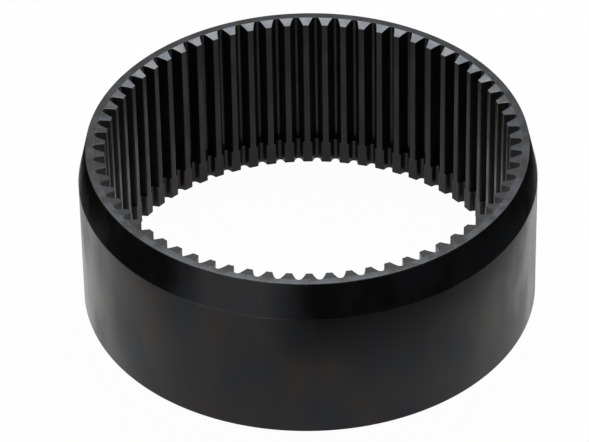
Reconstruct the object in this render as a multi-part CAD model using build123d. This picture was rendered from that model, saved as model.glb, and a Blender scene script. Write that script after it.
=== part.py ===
from build123d import *

import math
import os

# Internal ring gear: one steel ring, toothed inside over its whole height and plain outside.
# Frame: millimetres, +Z up along the gear axis, origin at the centre of the lower end face.

# --- Driving dimensions ---------------------------------------------------------------------

# Tooth system
MODULE = 3.0
TEETH = 66
PRESSURE_ANGLE = 20.0     # degrees
ADDENDUM = 2.25           # pitch circle to tooth tip, towards the axis
DEDENDUM = 3.5            # pitch circle to the bottom of a tooth space, away from the axis
SPACE_WIDENING = 0.2      # added to every tooth space, so that a mating gear has backlash

# Band of thicker teeth at the lower end, cut with the same tool at a smaller depth
BAND_HEIGHT = 12.5
BAND_DEPTH_REDUCTION = 2.7

# Ring around the teeth
HEIGHT = 86.0
RIM_LAND = 3.5            # flat top face, from the bottom of the tooth spaces to the cone
CONE_HEIGHT = 18.0        # lead-in cone at the top of the outer wall
CONE_TAPER = 4.0          # what the cone takes off the outer radius

# Chamfer over the upper tooth ends
END_CHAMFER_ANGLE = 10.5  # degrees down from the top face, towards the axis
END_CHAMFER_INSET = 0.4   # the chamfer starts this far inside the bottom of the tooth spaces

# Number of spans that a flank's involute is drawn through
FLANK_SPANS = 3

# --- Derived sizes --------------------------------------------------------------------------

PITCH_RADIUS = MODULE * TEETH / 2
BASE_RADIUS = PITCH_RADIUS * math.cos(math.radians(PRESSURE_ANGLE))
TIP_RADIUS = PITCH_RADIUS - ADDENDUM
ROOT_RADIUS = PITCH_RADIUS + DEDENDUM
RIM_RADIUS = ROOT_RADIUS + RIM_LAND
OUTER_RADIUS = RIM_RADIUS + CONE_TAPER

CHAMFER_RADIUS = ROOT_RADIUS - END_CHAMFER_INSET
CHAMFER_DROP = (CHAMFER_RADIUS - TIP_RADIUS) * math.tan(math.radians(END_CHAMFER_ANGLE))

# How far a cutting outline runs past the surface that it cuts
OVERRUN = ADDENDUM


def involute(angle):
    """Involute function of a pressure angle in radians."""
    return math.tan(angle) - angle


def half_space(radius):
    """Half the width of a tooth space at a radius, square to the space's centre line."""
    pressure = math.acos(min(1.0, BASE_RADIUS / radius))
    half_angle = math.pi / (2 * TEETH) + involute(math.radians(PRESSURE_ANGLE)) - involute(pressure)
    return radius * math.sin(half_angle) + SPACE_WIDENING / 2


def flank_lean(radius):
    """Angle between the flank and the space's centre line at a radius, in radians."""
    step = MODULE / 1000
    return math.atan((half_space(radius - step) - half_space(radius + step)) / (2 * step))


def root_arc_start():
    """Radius where the flanks meet the one arc that rounds the bottom of a space.

    The arc touches both flanks and the root circle, so its rise above the meeting points is
    half the space's width there, times (1 - sin lean) / cos lean.
    """
    low, high = PITCH_RADIUS, ROOT_RADIUS
    for _ in range(40):
        middle = (low + high) / 2
        lean = flank_lean(middle)
        rise = half_space(middle) * (1 - math.sin(lean)) / math.cos(lean)
        if middle + rise < ROOT_RADIUS:
            low = middle
        else:
            high = middle
    return (low + high) / 2


def space_outline(depth_reduction):
    """Closed outline of one tooth space on the +X axis, moved towards the gear's axis.

    The outline starts inside the tip circle, follows one involute flank out to the rounded
    bottom, and comes back down the other flank.
    """
    start = root_arc_start()
    inner = TIP_RADIUS - OVERRUN
    spans = range(FLANK_SPANS + 1)
    radii = [inner + (start - inner) * span / FLANK_SPANS for span in spans]
    upper = [Vector(radius - depth_reduction, half_space(radius)) for radius in radii]
    lower = [Vector(point.X, -point.Y) for point in upper]
    bottom = Vector(ROOT_RADIUS - depth_reduction, 0)
    edges = [
        Spline(*upper),
        ThreePointArc(upper[-1], bottom, lower[-1]),
        Spline(*reversed(lower)),
        Line(lower[0], upper[0]),
    ]
    return make_face(edges)


def tooth_spaces(depth_reduction, floor, ceiling):
    """All the tooth spaces between two heights."""
    outline = Pos(0, 0, floor) * space_outline(depth_reduction)
    prism = extrude(outline, ceiling - floor)
    return PolarLocations(0, TEETH) * prism


def blank():
    """The turned ring before its teeth are cut."""
    top = HEIGHT
    outline = Polyline(
        (TIP_RADIUS, 0),
        (OUTER_RADIUS, 0),
        (OUTER_RADIUS, top - CONE_HEIGHT),
        (RIM_RADIUS, top),
        (CHAMFER_RADIUS, top),
        (TIP_RADIUS, top - CHAMFER_DROP),
        close=True,
    )
    section = Plane.XZ * make_face(outline)
    return revolve(section, Axis.Z)


def ring_gear():
    """The ring with its full-depth teeth above and its band of thicker teeth below."""
    full_depth = tooth_spaces(0, BAND_HEIGHT, HEIGHT + OVERRUN)
    band = tooth_spaces(BAND_DEPTH_REDUCTION, -OVERRUN, BAND_HEIGHT)
    return blank() - full_depth - band


def main():
    os.makedirs("parts", exist_ok=True)
    gear = ring_gear()
    gear.label = "ring_gear"
    export_step(gear, "parts/ring_gear.step")


if __name__ == "__main__":
    main()
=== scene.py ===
"""Internal ring gear of blackened steel on a pale studio floor.

Lengths are in metres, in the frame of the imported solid: +Z along the gear axis, the origin at
the centre of the lower end face, and a tooth space centred on +X.
"""

import logging
import math
from dataclasses import dataclass
from enum import Enum

import bpy
import numpy as np
from mathutils import Matrix, Vector


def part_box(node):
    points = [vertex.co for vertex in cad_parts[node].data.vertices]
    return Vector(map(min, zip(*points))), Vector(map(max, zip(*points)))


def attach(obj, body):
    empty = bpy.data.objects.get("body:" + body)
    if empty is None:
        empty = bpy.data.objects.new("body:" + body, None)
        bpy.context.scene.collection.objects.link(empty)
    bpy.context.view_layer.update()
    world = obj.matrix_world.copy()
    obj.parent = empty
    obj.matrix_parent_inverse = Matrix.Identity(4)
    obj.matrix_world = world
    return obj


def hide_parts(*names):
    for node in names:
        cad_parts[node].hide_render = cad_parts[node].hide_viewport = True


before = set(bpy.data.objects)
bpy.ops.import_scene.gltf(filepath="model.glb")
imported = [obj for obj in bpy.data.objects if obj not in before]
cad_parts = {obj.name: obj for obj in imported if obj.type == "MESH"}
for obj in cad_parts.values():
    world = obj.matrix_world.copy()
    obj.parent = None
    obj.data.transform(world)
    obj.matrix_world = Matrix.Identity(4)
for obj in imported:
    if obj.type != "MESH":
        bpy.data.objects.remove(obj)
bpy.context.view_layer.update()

GEAR_NODE = "ring_gear"
BODY = "root"

MM = 0.001
WHITE = (1.0, 1.0, 1.0, 1.0)
QUARTER_TURN = math.pi / 2

# Points of the table in which a curve's crossing with a circle is looked up
CROSSING_POINTS = 4001

# How far clouds, streaks and broached lines are drawn out: the share of the height that they read
CLOUD_DRAW = 0.5
STREAK_DRAW = 0.12
BROACH_DRAW = 0.02

log = logging.getLogger("ring_gear")

Colour = tuple[float, float, float]


# --- Helpers for meshes -----------------------------------------------------------------------


def grid_faces(rows: int, columns: int, closed_rows: bool, closed_columns: bool) -> np.ndarray:
    """Quads that join neighbouring points of a grid, wound anticlockwise for x across, y up.

    Args:
        rows: number of points up the grid.
        columns: number of points across the grid.
        closed_rows: whether the last row joins the first one.
        closed_columns: whether the last column joins the first one.

    Returns:
        An array of point numbers with four to a row.
    """
    row = np.arange(rows if closed_rows else rows - 1)[:, None]
    column = np.arange(columns if closed_columns else columns - 1)[None, :]
    above = (row + 1) % rows
    beside = (column + 1) % columns
    corners = [
        row * columns + column,
        row * columns + beside,
        above * columns + beside,
        above * columns + column,
    ]
    return np.stack(np.broadcast_arrays(*corners), axis=-1).reshape(-1, 4)


def area_normals(points: np.ndarray, faces: np.ndarray) -> np.ndarray:
    """Normals at the points: the sum of each neighbouring quad's normal times its area.

    Args:
        points: positions, three to a row.
        faces: point numbers, four to a row.

    Returns:
        Unit normals, three to a row.
    """
    corner = points[faces]
    normal = np.cross(corner[:, 2] - corner[:, 0], corner[:, 3] - corner[:, 1])
    total = np.zeros_like(points)
    for side in range(faces.shape[1]):
        np.add.at(total, faces[:, side], normal)
    return total / np.linalg.norm(total, axis=1, keepdims=True)


def mesh_object(name: str, points: np.ndarray, faces: np.ndarray) -> bpy.types.Object:
    """An object at the origin with a mesh of quads, linked to the scene.

    Args:
        name: name of the object and of its mesh.
        points: positions, three to a row.
        faces: point numbers, four to a row.

    Returns:
        The new object.
    """
    mesh = bpy.data.meshes.new(name)
    mesh.from_pydata(points, [], faces.tolist())
    mesh.update()
    piece = bpy.data.objects.new(name, mesh)
    bpy.context.scene.collection.objects.link(piece)
    return piece


# --- Helpers for node trees -------------------------------------------------------------------


def add_node(tree: bpy.types.NodeTree, kind: str, **settings: object) -> bpy.types.Node:
    """A new node of a kind, with its settings given by name.

    Args:
        tree: node tree that gets the node.
        kind: type name of the node.
        settings: value of each property of the node by its name.

    Returns:
        The new node.
    """
    node = tree.nodes.new(kind)
    for name, value in settings.items():
        setattr(node, name, value)
    return node


def feed(tree: bpy.types.NodeTree, target: bpy.types.NodeSocket, source: object) -> None:
    """Links a socket to another one, or sets it to a constant.

    Args:
        tree: node tree that holds the sockets.
        target: input socket.
        source: output socket or constant.
    """
    if isinstance(source, bpy.types.NodeSocket):
        tree.links.new(source, target)
    else:
        target.default_value = source


def arithmetic(tree: bpy.types.NodeTree, operation: str, *values: object) -> bpy.types.NodeSocket:
    """The result of a Math node fed with sockets or numbers.

    Args:
        tree: node tree that gets the node.
        operation: what the node works out.
        values: socket or number for each input in turn.

    Returns:
        The output socket.
    """
    node = add_node(tree, "ShaderNodeMath", operation=operation)
    for socket, value in zip(node.inputs, values):
        feed(tree, socket, value)
    return node.outputs[0]


def vector_arithmetic(tree: bpy.types.NodeTree, operation: str,
                      *values: object) -> bpy.types.NodeSocket:
    """The vector result of a Vector Math node fed with sockets or constants.

    Args:
        tree: node tree that gets the node.
        operation: what the node works out.
        values: socket or constant for each input in turn.

    Returns:
        The output socket.
    """
    node = add_node(tree, "ShaderNodeVectorMath", operation=operation)
    for socket, value in zip(node.inputs, values):
        feed(tree, socket, value)
    return node.outputs["Vector"]


def noise(tree: bpy.types.NodeTree, vector: bpy.types.NodeSocket, scale: object,
          detail: float, roughness: float = 0.5) -> bpy.types.NodeSocket:
    """The factor of a three-dimensional Noise Texture.

    Args:
        tree: node tree that gets the node.
        vector: place on the surface.
        scale: how fine the noise is.
        detail: number of finer layers.
        roughness: strength of the finer layers.

    Returns:
        The output socket.
    """
    node = add_node(tree, "ShaderNodeTexNoise", noise_dimensions="3D")
    feed(tree, node.inputs["Vector"], vector)
    feed(tree, node.inputs["Scale"], scale)
    feed(tree, node.inputs["Detail"], detail)
    feed(tree, node.inputs["Roughness"], roughness)
    return node.outputs["Factor"] if "Factor" in node.outputs else node.outputs["Fac"]


def remap(tree: bpy.types.NodeTree, value: bpy.types.NodeSocket, low: float, high: float,
          to_low: object = 0.0, to_high: object = 1.0) -> bpy.types.NodeSocket:
    """A value smoothly carried from one range to another and held at its ends.

    Args:
        tree: node tree that gets the node.
        value: socket that is carried over.
        low: start of its range.
        high: end of its range.
        to_low: start of the new range.
        to_high: end of the new range.

    Returns:
        The output socket.
    """
    node = add_node(tree, "ShaderNodeMapRange", interpolation_type="SMOOTHSTEP")
    for name, source in (("Value", value), ("From Min", low), ("From Max", high),
                         ("To Min", to_low), ("To Max", to_high)):
        feed(tree, node.inputs[name], source)
    return node.outputs["Result"]


def mix_colours(tree: bpy.types.NodeTree, factor: object, first: object,
                second: object) -> bpy.types.NodeSocket:
    """Two colours mixed by a factor.

    Args:
        tree: node tree that gets the node.
        factor: share of the second colour.
        first: socket or colour.
        second: socket or colour.

    Returns:
        The output socket.
    """
    node = add_node(tree, "ShaderNodeMix", data_type="RGBA")
    feed(tree, node.inputs[0], factor)
    feed(tree, node.inputs[6], first)
    feed(tree, node.inputs[7], second)
    return node.outputs[2]


class Effect:
    """A shader node group that several materials share, with named inputs and outputs."""

    def __init__(self, name: str, inputs: dict[str, str], outputs: dict[str, str]) -> None:
        """Makes the empty group and its sockets.

        Args:
            name: name of the group.
            inputs: socket type of each input by its name.
            outputs: socket type of each output by its name.
        """
        self.tree = bpy.data.node_groups.new(name, "ShaderNodeTree")
        for socket, kind in inputs.items():
            self.tree.interface.new_socket(name=socket, in_out="INPUT", socket_type=kind)
        for socket, kind in outputs.items():
            self.tree.interface.new_socket(name=socket, in_out="OUTPUT", socket_type=kind)
        self.inputs = add_node(self.tree, "NodeGroupInput").outputs
        self.outputs = add_node(self.tree, "NodeGroupOutput").inputs

    def place(self, tree: bpy.types.NodeTree, **values: object) -> bpy.types.bpy_prop_collection:
        """Puts the group in a material and feeds its inputs.

        Args:
            tree: node tree of the material.
            values: socket or constant for each input, with _ for a space in its name.

        Returns:
            The outputs of the placed group.
        """
        node = add_node(tree, "ShaderNodeGroup", node_tree=self.tree)
        for name, value in values.items():
            feed(tree, node.inputs[name.replace("_", " ")], value)
        return node.outputs


def oxide_patches() -> Effect:
    """Clouds of warmer and cooler black oxide, with fainter streaks drawn out along the axis."""
    kinds = {"Vector": "NodeSocketVector", "Cool": "NodeSocketColor", "Warm": "NodeSocketColor",
             "Cloud Scale": "NodeSocketFloat", "Streak Scale": "NodeSocketFloat",
             "Streaks": "NodeSocketFloat"}
    effect = Effect("oxide_patches", kinds, {"Color": "NodeSocketColor", "Patch": "NodeSocketFloat"})
    tree, given = effect.tree, effect.inputs
    drawn = vector_arithmetic(tree, "MULTIPLY", given["Vector"], (1.0, 1.0, CLOUD_DRAW))
    clouds = remap(tree, noise(tree, drawn, given["Cloud Scale"], 3.0), 0.3, 0.7)
    drawn_far = vector_arithmetic(tree, "MULTIPLY", given["Vector"], (1.0, 1.0, STREAK_DRAW))
    streaks = noise(tree, drawn_far, given["Streak Scale"], 4.0)
    offset = arithmetic(tree, "MULTIPLY", arithmetic(tree, "SUBTRACT", streaks, 0.5), given["Streaks"])
    patch = arithmetic(tree, "ADD", clouds, offset)
    patch.node.use_clamp = True
    feed(tree, effect.outputs["Color"], mix_colours(tree, patch, given["Cool"], given["Warm"]))
    feed(tree, effect.outputs["Patch"], patch)
    return effect


def tool_marks() -> Effect:
    """Uneven fine lines across one direction, as a cutting edge leaves them."""
    kinds = {"Vector": "NodeSocketVector", "Scale": "NodeSocketFloat", "Depth": "NodeSocketFloat"}
    effect = Effect("tool_marks", kinds, {"Height": "NodeSocketFloat"})
    tree, given = effect.tree, effect.inputs
    lines = noise(tree, given["Vector"], given["Scale"], 5.0, 0.7)
    feed(tree, effect.outputs["Height"], arithmetic(tree, "MULTIPLY", lines, given["Depth"]))
    return effect


def speckle() -> Effect:
    """The fine grain of an oxidised surface."""
    kinds = {"Vector": "NodeSocketVector", "Scale": "NodeSocketFloat", "Depth": "NodeSocketFloat"}
    effect = Effect("speckle", kinds, {"Height": "NodeSocketFloat"})
    tree, given = effect.tree, effect.inputs
    grain = noise(tree, given["Vector"], given["Scale"], 2.0, 0.6)
    feed(tree, effect.outputs["Height"], arithmetic(tree, "MULTIPLY", grain, given["Depth"]))
    return effect


# --- Finishes ---------------------------------------------------------------------------------


class Zone(Enum):
    """The kinds of surface on the ring, each with the place of its finish on the mesh."""

    WALL = 0
    CONE = 1
    FACE = 2
    TEETH = 3
    EDGE = 4


class Marks(Enum):
    """How tool marks lie on a surface."""

    TURNED = "rings, one above another"
    FACED = "rings, one inside another"
    BROACHED = "lines along the axis"


@dataclass(frozen=True)
class Oxide:
    """A black oxide finish on steel."""

    name: str
    cool: Colour
    warm: Colour
    roughness: float
    marks: Marks
    metallic: float = 0.9
    roughness_spread: float = 0.06
    cloud_scale: float = 45.0
    streak_scale: float = 260.0
    streaks: float = 0.5
    mark_scale: float = 900.0
    mark_depth: float = 4e-6
    grain_scale: float = 1600.0
    grain_depth: float = 6e-6

    def mark_vector(self, tree: bpy.types.NodeTree, place: bpy.types.NodeSocket) -> bpy.types.NodeSocket:
        """The place on the surface with every direction along the tool marks left out.

        Args:
            tree: node tree of the material.
            place: object coordinates.

        Returns:
            The height for turned rings, the radius for faced rings, and for broached lines
            the whole place with its height all but left out.
        """
        if self.marks is Marks.TURNED:
            return vector_arithmetic(tree, "MULTIPLY", place, (0.0, 0.0, 1.0))
        if self.marks is Marks.BROACHED:
            return vector_arithmetic(tree, "MULTIPLY", place, (1.0, 1.0, BROACH_DRAW))
        flat = vector_arithmetic(tree, "MULTIPLY", place, (1.0, 1.0, 0.0))
        length = add_node(tree, "ShaderNodeVectorMath", operation="LENGTH")
        feed(tree, length.inputs[0], flat)
        radius = add_node(tree, "ShaderNodeCombineXYZ")
        feed(tree, radius.inputs["X"], length.outputs["Value"])
        return radius.outputs["Vector"]

    def material(self, effects: dict[str, Effect]) -> bpy.types.Material:
        """Makes the material from the shared effects.

        Args:
            effects: the shared node groups by name.

        Returns:
            The material, which reads object coordinates only.
        """
        material = bpy.data.materials.new(self.name)
        material.use_nodes = True
        tree = material.node_tree
        shader = tree.nodes["Principled BSDF"]
        place = add_node(tree, "ShaderNodeTexCoord").outputs["Object"]
        patches = effects["patches"].place(
            tree, Vector=place, Cool=(*self.cool, 1.0), Warm=(*self.warm, 1.0),
            Cloud_Scale=self.cloud_scale, Streak_Scale=self.streak_scale, Streaks=self.streaks)
        low, high = self.roughness - self.roughness_spread, self.roughness + self.roughness_spread
        feed(tree, shader.inputs["Base Color"], patches["Color"])
        feed(tree, shader.inputs["Roughness"], remap(tree, patches["Patch"], 0.0, 1.0, high, low))
        shader.inputs["Metallic"].default_value = self.metallic
        marks = effects["marks"].place(tree, Vector=self.mark_vector(tree, place),
                                       Scale=self.mark_scale, Depth=self.mark_depth)
        grain = effects["grain"].place(tree, Vector=place,
                                       Scale=self.grain_scale, Depth=self.grain_depth)
        bump = add_node(tree, "ShaderNodeBump")
        bump.inputs["Distance"].default_value = 1.0
        feed(tree, bump.inputs["Height"], arithmetic(tree, "ADD", marks["Height"], grain["Height"]))
        feed(tree, shader.inputs["Normal"], bump.outputs["Normal"])
        return material


FINISHES = {
    Zone.WALL: Oxide("oxide_turned_wall", cool=(0.017, 0.019, 0.023), warm=(0.026, 0.022, 0.019),
                     roughness=0.34, marks=Marks.TURNED),
    Zone.CONE: Oxide("oxide_turned_cone", cool=(0.022, 0.024, 0.029), warm=(0.029, 0.027, 0.027),
                     roughness=0.30, marks=Marks.TURNED),
    Zone.FACE: Oxide("oxide_faced", cool=(0.036, 0.040, 0.046), warm=(0.044, 0.044, 0.044),
                     roughness=0.20, marks=Marks.FACED, cloud_scale=120.0),
    Zone.TEETH: Oxide("oxide_broached", cool=(0.018, 0.018, 0.021), warm=(0.026, 0.023, 0.021),
                      roughness=0.36, marks=Marks.BROACHED, cloud_scale=90.0),
    Zone.EDGE: Oxide("oxide_rubbed_edge", cool=(0.030, 0.032, 0.036), warm=(0.045, 0.043, 0.042),
                     roughness=0.34, marks=Marks.TURNED, cloud_scale=200.0),
}


# --- The gear ---------------------------------------------------------------------------------


@dataclass
class Row:
    """One row of the gear's surface over a tooth pitch, in polar coordinates."""

    radius: np.ndarray
    angle: np.ndarray
    height: np.ndarray


@dataclass
class Outline:
    """Half a tooth pitch seen along the axis, from the middle of a space to the middle of a tooth."""

    x: np.ndarray
    y: np.ndarray
    normal_x: np.ndarray
    normal_y: np.ndarray

    def moved(self, distance: object) -> tuple[np.ndarray, np.ndarray]:
        """Polar radius and angle of the whole pitch, moved along the normals into the metal.

        Args:
            distance: how far each point moves, one number or one for each point.

        Returns:
            Radii and angles from the middle of one tooth to just short of the next one.
        """
        x = self.x + self.normal_x * distance
        y = self.y + self.normal_y * distance
        radius, angle = np.hypot(x, y), np.arctan2(y, x)
        return (np.concatenate([radius[:0:-1], radius[:-1]]),
                np.concatenate([-angle[:0:-1], angle[:-1]]))


@dataclass
class RingGear:
    """The ring gear in one piece, with the sizes of the solid and of its broken edges."""

    outer_radius: float
    height: float
    module: float = 3.0 * MM
    teeth: int = 66
    pressure_angle: float = math.radians(20.0)
    addendum: float = 2.25 * MM
    dedendum: float = 3.5 * MM
    space_widening: float = 0.2 * MM
    band_height: float = 12.5 * MM
    band_depth_reduction: float = 2.7 * MM
    cone_height: float = 18.0 * MM
    cone_taper: float = 4.0 * MM
    end_chamfer_angle: float = math.radians(10.5)
    end_chamfer_inset: float = 0.4 * MM
    edge_break: float = 0.3 * MM
    tooth_edge_break: float = 0.2 * MM
    tip_break: float = 0.2 * MM
    ledge_fillet: float = 0.15 * MM
    break_steps: int = 3
    arc_steps: int = 6
    flank_steps: int = 4
    shared_steps: int = 3
    crest_steps: int = 4
    ledge_steps: int = 2
    shared_gap: float = 1.5
    crest_fall: float = 0.3

    @property
    def pitch_radius(self) -> float:
        """Radius of the pitch circle."""
        return self.module * self.teeth / 2

    @property
    def base_radius(self) -> float:
        """Radius of the circle that the involutes unwind from."""
        return self.pitch_radius * math.cos(self.pressure_angle)

    @property
    def tip_radius(self) -> float:
        """Radius of the tooth tips."""
        return self.pitch_radius - self.addendum

    @property
    def root_radius(self) -> float:
        """Radius of the bottoms of the full-depth spaces."""
        return self.pitch_radius + self.dedendum

    @property
    def half_pitch(self) -> float:
        """Angle from the middle of a space to the middle of a tooth."""
        return math.pi / self.teeth

    def half_space(self, x: np.ndarray) -> np.ndarray:
        """Half the width of a space at a distance x along its centre line.

        The half angle is a quarter of the angular pitch plus the involute function of the
        pressure angle, less the involute function of the angle whose cosine is base radius
        over x. The half width is x times its sine, plus half the widening.
        """
        angle = np.arccos(np.minimum(1.0, self.base_radius / x))
        involutes = math.tan(self.pressure_angle) - self.pressure_angle - np.tan(angle) + angle
        return x * np.sin(self.half_pitch / 2 + involutes) + self.space_widening / 2

    def lean(self, x: np.ndarray) -> np.ndarray:
        """Angle of the flank to the centre line at x: the arctangent of the fall of the half width."""
        step = self.module / 1000
        return np.arctan((self.half_space(x - step) - self.half_space(x + step)) / (2 * step))

    def arc_start(self) -> float:
        """Where the flanks meet the arc that rounds the bottom of a space.

        An arc that touches both flanks at x rises above x by the half width times
        (1 - sine of the lean) / cosine of the lean. The answer is the x whose arc touches the
        root circle.
        """
        x = np.linspace(self.pitch_radius, self.root_radius, CROSSING_POINTS)
        lean = self.lean(x)
        bottom = x + self.half_space(x) * (1 - np.sin(lean)) / np.cos(lean)
        return float(np.interp(self.root_radius, bottom, x))

    def tip_corner(self, depth_reduction: float) -> float:
        """The x where a flank crosses the tip circle.

        There, x squared plus y squared is the square of the tip radius.

        Args:
            depth_reduction: how far the space is moved towards the axis.

        Returns:
            Distance from the axis along the centre line of the space.
        """
        x = np.linspace(self.tip_radius - self.addendum, self.tip_radius, CROSSING_POINTS)
        y = self.half_space(x + depth_reduction)
        return float(np.interp(self.tip_radius, np.hypot(x, y), x))

    def outline(self, depth_reduction: float) -> Outline:
        """The outline of half a pitch, with its points in step for both depths.

        In order: the arc at the bottom of the space, an involute flank, a small break, and the
        crest on the tip circle. The shared points lie on the flank where the space has its
        full depth, and on the crest where it is shallower and the tooth thicker.

        Args:
            depth_reduction: how far the space is moved towards the axis.

        Returns:
            Points with normals that point into the metal.
        """
        start = self.arc_start()
        lean = float(self.lean(np.array(start)))
        arc_radius = float(self.half_space(np.array(start))) / math.cos(lean)
        centre = self.root_radius - arc_radius
        turn = np.linspace(0.0, QUARTER_TURN - lean, self.arc_steps + 1)
        arc_x, arc_y = centre + arc_radius * np.cos(turn), arc_radius * np.sin(turn)

        shallow = depth_reduction > 0
        corner = self.tip_corner(depth_reduction)
        flank_end = corner + self.tip_break * math.cos(lean) + depth_reduction
        flank_points = self.flank_steps + (0 if shallow else self.shared_steps)
        flank_x = np.linspace(start, flank_end, flank_points + 1)[1:]
        flank_lean = self.lean(flank_x)

        full_corner = self.crest_angle(0.0)
        crest_angle = np.linspace(full_corner + self.tip_break / self.tip_radius, self.half_pitch,
                                  self.crest_steps)
        if shallow:
            first = self.crest_angle(depth_reduction) + self.tip_break / self.tip_radius
            last = full_corner - self.shared_gap * self.tip_break / self.tip_radius
            crest_angle = np.concatenate([np.linspace(first, last, self.shared_steps), crest_angle])
        crest_x, crest_y = self.tip_radius * np.cos(crest_angle), self.tip_radius * np.sin(crest_angle)

        x = np.concatenate([arc_x - depth_reduction, flank_x - depth_reduction, crest_x])
        y = np.concatenate([arc_y, self.half_space(flank_x), crest_y])
        normal_x = np.concatenate([np.cos(turn), np.sin(flank_lean), np.cos(crest_angle)])
        normal_y = np.concatenate([np.sin(turn), np.cos(flank_lean), np.sin(crest_angle)])
        return Outline(x, y, normal_x, normal_y)

    def crest_angle(self, depth_reduction: float) -> float:
        """Polar angle where the crest of a tooth begins."""
        return math.acos(self.tip_corner(depth_reduction) / self.tip_radius)

    def top_at(self, radius: np.ndarray) -> np.ndarray:
        """Height of the upper end at a radius: level, then falling along the end chamfer."""
        inside = np.maximum(0.0, self.root_radius - self.end_chamfer_inset - radius)
        return self.height - inside * math.tan(self.end_chamfer_angle)

    def round_edge(self, corner: tuple[float, float], before: tuple[float, float],
                   after: tuple[float, float], size: float, steps: int) -> list[Row]:
        """Rows around a circular edge, rounded along a quarter of an ellipse.

        A row at t from 0 to 1 lies at the corner, plus size times (1 - sine of t quarter
        turns) along the side before it, plus size times (1 - cosine of t quarter turns) along
        the side after it.

        Args:
            corner: radius and height of the sharp edge.
            before: unit direction from the edge back along the side before it.
            after: unit direction from the edge on along the side after it.
            size: how far the rounding reaches along each side.
            steps: number of faces across the rounding.

        Returns:
            The rows in order.
        """
        even = np.linspace(-self.half_pitch, self.half_pitch, self.columns + 1)[:-1]
        rows = []
        for turn in np.linspace(0.0, QUARTER_TURN, steps + 1):
            back, on = size * (1 - math.sin(turn)), size * (1 - math.cos(turn))
            radius = corner[0] + before[0] * back + after[0] * on
            height = corner[1] + before[1] * back + after[1] * on
            rows.append(Row(np.full_like(even, radius), even, np.full_like(even, height)))
        return rows

    @property
    def columns(self) -> int:
        """Number of points across one tooth pitch."""
        half = self.arc_steps + self.flank_steps + self.shared_steps + self.crest_steps
        return 2 * half

    def outer_rows(self) -> list[tuple[Zone, list[Row]]]:
        """Rows up the outside, each list with the zone of the surface that follows it."""
        cone = Vector((-self.cone_taper, self.cone_height)).normalized()
        rim = self.outer_radius - self.cone_taper
        shoulder = self.height - self.cone_height
        size, steps = self.edge_break, self.break_steps
        foot = self.round_edge((self.outer_radius, 0.0), (-1.0, 0.0), (0.0, 1.0), size, steps)
        bend = self.round_edge((self.outer_radius, shoulder), (0.0, -1.0), tuple(cone), size, 1)
        brow = self.round_edge((rim, self.height), tuple(-cone), (-1.0, 0.0), size, steps)
        return [(Zone.WALL, foot), (Zone.CONE, bend), (Zone.FACE, brow)]

    def upper_rows(self) -> list[tuple[Zone, list[Row]]]:
        """Rows across the end chamfer and over the upper edges of the teeth."""
        full = self.outline(0.0)
        size = self.tooth_edge_break
        edge = []
        for turn in np.linspace(0.0, QUARTER_TURN, self.break_steps + 1):
            radius, angle = full.moved(size * (1 - math.sin(turn)))
            edge.append(Row(radius, angle, self.top_at(radius) - size * (1 - math.cos(turn))))
        start = self.root_radius - self.end_chamfer_inset
        chamfer = []
        for offset in (1.0, -1.0):
            least = edge[0].radius + size * (1.5 + offset) / 2
            radius = np.maximum(start + offset * size / 2, least)
            chamfer.append(Row(radius, edge[0].angle, self.top_at(radius)))
        return [(Zone.FACE, chamfer), (Zone.TEETH, edge)]

    def lower_rows(self) -> list[tuple[Zone, list[Row]]]:
        """Rows down the teeth: the ledges, the band of thicker teeth and its lower edges."""
        full, band = self.outline(0.0), self.outline(self.band_depth_reduction)
        size, fillet = self.tooth_edge_break, self.ledge_fillet
        half_points = len(full.x)
        on_ledge = (np.arange(half_points) < half_points - self.crest_steps).astype(float)
        stepped = np.concatenate([on_ledge[:0:-1], on_ledge[:-1]])
        ledge, shoulder, foot = [], [], []
        for turn in np.linspace(0.0, QUARTER_TURN, self.ledge_steps + 1):
            radius, angle = full.moved(-fillet * on_ledge * (1 - math.cos(turn)))
            height = np.full_like(radius, self.band_height + fillet * (1 - math.sin(turn)))
            ledge.append(Row(radius, angle, height))
        for turn in np.linspace(0.0, QUARTER_TURN, self.ledge_steps + 1):
            radius, angle = band.moved(size * on_ledge * (1 - math.sin(turn)))
            share = turn / QUARTER_TURN
            crest = self.crest_fall + (1 - self.crest_fall) * share
            fall = stepped * (1 - math.cos(turn)) + (1 - stepped) * crest
            shoulder.append(Row(radius, angle, self.band_height - size * fall))
        for turn in np.linspace(0.0, QUARTER_TURN, self.break_steps + 1):
            radius, angle = band.moved(size * (1 - math.cos(turn)))
            foot.append(Row(radius, angle, np.full_like(radius, size * (1 - math.sin(turn)))))
        return [(Zone.TEETH, ledge), (Zone.TEETH, shoulder), (Zone.FACE, foot)]

    def build(self) -> bpy.types.Object:
        """Makes the gear's closed surface: a grid of rows over its section by columns around it.

        Returns:
            The gear, smooth, with a material number on every face.
        """
        parts = self.outer_rows() + self.upper_rows() + self.lower_rows()
        rows, zones = [], []
        for zone, part in parts:
            rows += part
            zones += [Zone.EDGE.value] * (len(part) - 1) + [zone.value]
        radius = np.stack([row.radius for row in rows])
        height = np.stack([row.height for row in rows])
        turns = np.arange(self.teeth) * 2 * self.half_pitch
        angle = np.stack([(turns[:, None] + row.angle[None, :]).ravel() for row in rows])
        radius, height = np.tile(radius, self.teeth), np.tile(height, self.teeth)
        points = np.stack([radius * np.cos(angle), radius * np.sin(angle), height], axis=-1)
        points = points.reshape(-1, 3)
        faces = grid_faces(len(rows), self.columns * self.teeth, True, True)
        piece = mesh_object("gear_ring", points, faces)
        mesh = piece.data
        slots = np.repeat(zones, self.columns * self.teeth).astype(np.int32)
        mesh.polygons.foreach_set("material_index", slots)
        mesh.polygons.foreach_set("use_smooth", np.ones(len(faces), dtype=bool))
        mesh.normals_split_custom_set_from_vertices(area_normals(points, faces))
        return piece

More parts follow.
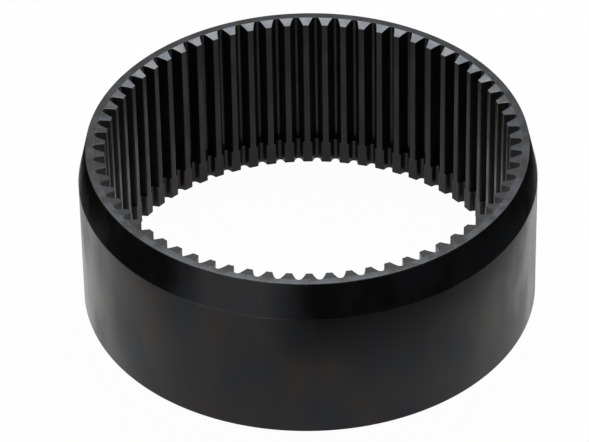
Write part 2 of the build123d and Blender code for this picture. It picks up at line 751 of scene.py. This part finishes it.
    def dress(self, piece: bpy.types.Object, effects: dict[str, Effect]) -> None:
        """Gives each zone of the gear its finish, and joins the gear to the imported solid.

        Args:
            piece: the gear.
            effects: the shared node groups by name.
        """
        for zone in Zone:
            piece.data.materials.append(FINISHES[zone].material(effects))
        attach(piece, BODY)
        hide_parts(GEAR_NODE)


# --- The studio -------------------------------------------------------------------------------


def emission_material(name: str, colour: Colour, strength: float) -> bpy.types.Material:
    """A material that only shines.

    Args:
        name: name of the material.
        colour: colour of the light.
        strength: how bright it is, where 1 is white.

    Returns:
        The new material.
    """
    material = bpy.data.materials.new(name)
    material.use_nodes = True
    tree = material.node_tree
    tree.nodes.clear()
    shader = add_node(tree, "ShaderNodeEmission")
    shader.inputs["Color"].default_value = (*colour, 1.0)
    shader.inputs["Strength"].default_value = strength
    output = add_node(tree, "ShaderNodeOutputMaterial")
    feed(tree, output.inputs["Surface"], shader.outputs[0])
    return material


def seen_rays(tree: bpy.types.NodeTree) -> bpy.types.NodeSocket:
    """1 for what the camera sees straight, in a reflection or through glass, and 0 for the rest."""
    path = add_node(tree, "ShaderNodeLightPath").outputs
    gloss = arithmetic(tree, "MAXIMUM", path["Is Glossy Ray"], path["Is Transmission Ray"])
    return arithmetic(tree, "MAXIMUM", path["Is Camera Ray"], gloss)


@dataclass
class Softbox:
    """A flat lamp face that shines evenly towards a point, unseen by the camera."""

    name: str
    centre: tuple[float, float, float]
    target: tuple[float, float, float]
    width: float
    height: float
    strength: float
    colour: Colour = (1.0, 1.0, 1.0)

    def build(self) -> bpy.types.Object:
        """Makes the face: a square grid of two by two points, stretched, turned and placed.

        Returns:
            The face, which the camera and shadows leave out.
        """
        across, up = np.meshgrid((-0.5, 0.5), (-0.5, 0.5))
        flat = np.stack([across * self.width, up * self.height, np.zeros_like(across)], axis=-1)
        aim = (Vector(self.target) - Vector(self.centre)).to_track_quat("Z", "Y").to_matrix()
        points = flat.reshape(-1, 3) @ np.array(aim).T + np.array(self.centre)
        piece = mesh_object(self.name, points, grid_faces(2, 2, False, False))
        piece.data.materials.append(emission_material(self.name, self.colour, self.strength))
        piece.visible_camera = False
        piece.visible_shadow = False
        return piece


@dataclass
class ReflectedShadeSheet:
    """Painted shade in reflections: a black sheet that only reflections see, lying on part of the floor,
    then standing up.
    """

    name: str = "reflected_shade_sheet"
    inner_radius: float = 0.17
    outer_radius: float = 0.80
    height: float = 0.10
    first_angle: float = math.radians(-100.0)
    last_angle: float = math.radians(166.0)
    steps: int = 96

    def build(self) -> bpy.types.Object:
        """Makes the sheet: a profile of three points carried round an arc of a circle.

        Returns:
            The cloth, which the camera, diffuse light and shadows leave out.
        """
        radius = np.array([self.inner_radius, self.outer_radius, self.outer_radius])[:, None]
        lift = np.array([MM, MM, self.height])[:, None]
        angle = np.linspace(self.first_angle, self.last_angle, self.steps)[None, :]
        places = np.broadcast_arrays(radius * np.cos(angle), radius * np.sin(angle), lift)
        points = np.stack(places, axis=-1).reshape(-1, 3)
        piece = mesh_object(self.name, points, grid_faces(len(radius), self.steps, False, False))
        piece.data.materials.append(emission_material(self.name, (0.0, 0.0, 0.0), 0.0))
        piece.visible_camera = False
        piece.visible_diffuse = False
        piece.visible_shadow = False
        return piece


@dataclass
class Studio:
    """Pale floor, even surroundings and the lamps."""

    floor_radius: float = 3.0
    floor_rings: int = 8
    floor_sides: int = 64
    lamp_aim: float = 0.086
    floor_colour: Colour = (0.85, 0.85, 0.85)
    floor_glow: float = 0.97
    ambient: float = 0.45

    def build_floor(self) -> bpy.types.Object:
        """Makes the floor: a disc of rings around the origin, level with the gear's lower face.

        Returns:
            The floor.
        """
        radius = np.linspace(0.0, self.floor_radius, self.floor_rings)[:, None]
        angle = np.linspace(0.0, 2 * math.pi, self.floor_sides + 1)[None, :-1]
        points = np.stack(np.broadcast_arrays(
            radius * np.cos(angle), radius * np.sin(angle), np.zeros((1, 1))), axis=-1).reshape(-1, 3)
        faces = grid_faces(radius.size, angle.size, False, True)
        floor = mesh_object("floor", points, faces[:, ::-1])
        floor.data.materials.append(self.floor_material())
        return floor

    def floor_material(self) -> bpy.types.Material:
        """Pale matt floor that glows nearly white where it is seen, and still takes the shadow."""
        material = bpy.data.materials.new("pale_floor")
        material.use_nodes = True
        tree = material.node_tree
        tree.nodes.clear()
        matt = add_node(tree, "ShaderNodeBsdfDiffuse")
        matt.inputs["Color"].default_value = (*self.floor_colour, 1.0)
        glow = add_node(tree, "ShaderNodeEmission")
        mix = add_node(tree, "ShaderNodeMixShader")
        feed(tree, mix.inputs[0], arithmetic(tree, "MULTIPLY", seen_rays(tree), self.floor_glow))
        feed(tree, mix.inputs[1], matt.outputs[0])
        feed(tree, mix.inputs[2], glow.outputs[0])
        output = add_node(tree, "ShaderNodeOutputMaterial")
        feed(tree, output.inputs["Surface"], mix.outputs[0])
        return material

    def light_world(self) -> None:
        """Even light from all round, and plain white where the surroundings are seen."""
        world = bpy.data.worlds.new("studio_world")
        bpy.context.scene.world = world
        world.use_nodes = True
        tree = world.node_tree
        background = tree.nodes["Background"]
        background.inputs["Color"].default_value = WHITE
        strength = remap(tree, seen_rays(tree), 0.0, 1.0, self.ambient, 1.0)
        feed(tree, background.inputs["Strength"], strength)

    def lamps(self) -> list[Softbox]:
        """The lamp faces."""
        return [
            Softbox("key_lamp", centre=(0.08, 0.75, 1.25), target=(0.0, 0.0, self.lamp_aim),
                    width=0.80, height=0.62, strength=8.0, colour=(0.96, 0.98, 1.0)),
        ]

    def build(self) -> None:
        """Makes the whole studio."""
        self.light_world()
        self.build_floor()
        # Black sheets that only reflections see: painted shade in the gear's reflections of the floor.
        ReflectedShadeSheet().build()
        ReflectedShadeSheet("left_reflected_shade_sheet", inner_radius=0.185, height=MM,
                  first_angle=math.radians(166.0), last_angle=math.radians(222.0)).build()
        for lamp in self.lamps():
            lamp.build()


@dataclass
class Viewpoint:
    """The camera and where it stands."""

    eye: tuple[float, float, float] = (0.00239, -1.72536, 1.41269)
    heading: float = math.radians(0.306)
    pitch: float = math.radians(38.528)
    roll: float = math.radians(-1.0524)
    lens: float = 279.0

    def build(self) -> bpy.types.Object:
        """Makes the camera, turned by its heading, then by its pitch, then about its own axis.

        Returns:
            The camera, which the scene uses.
        """
        data = bpy.data.cameras.new("camera")
        data.lens = self.lens
        camera = bpy.data.objects.new("camera", data)
        turn = (Matrix.Rotation(self.heading, 4, "Z")
                @ Matrix.Rotation(QUARTER_TURN - self.pitch, 4, "X")
                @ Matrix.Rotation(self.roll, 4, "Z"))
        camera.matrix_world = Matrix.Translation(self.eye) @ turn
        bpy.context.scene.collection.objects.link(camera)
        bpy.context.scene.camera = camera
        return camera


def main() -> None:
    """Builds the camera, the studio and the gear."""
    logging.basicConfig(level=logging.INFO, format="%(message)s")
    bpy.context.scene.view_settings.view_transform = "Standard"
    Viewpoint().build()
    Studio().build()
    effects = {"patches": oxide_patches(), "marks": tool_marks(), "grain": speckle()}
    low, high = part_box(GEAR_NODE)
    gear = RingGear(outer_radius=min(high.x, high.y), height=high.z)
    piece = gear.build()
    gear.dress(piece, effects)
    log.info("%s: %d faces, %.1f mm across", piece.name, len(piece.data.polygons), 2 * high.x / MM)


if __name__ == "__main__":
    main()
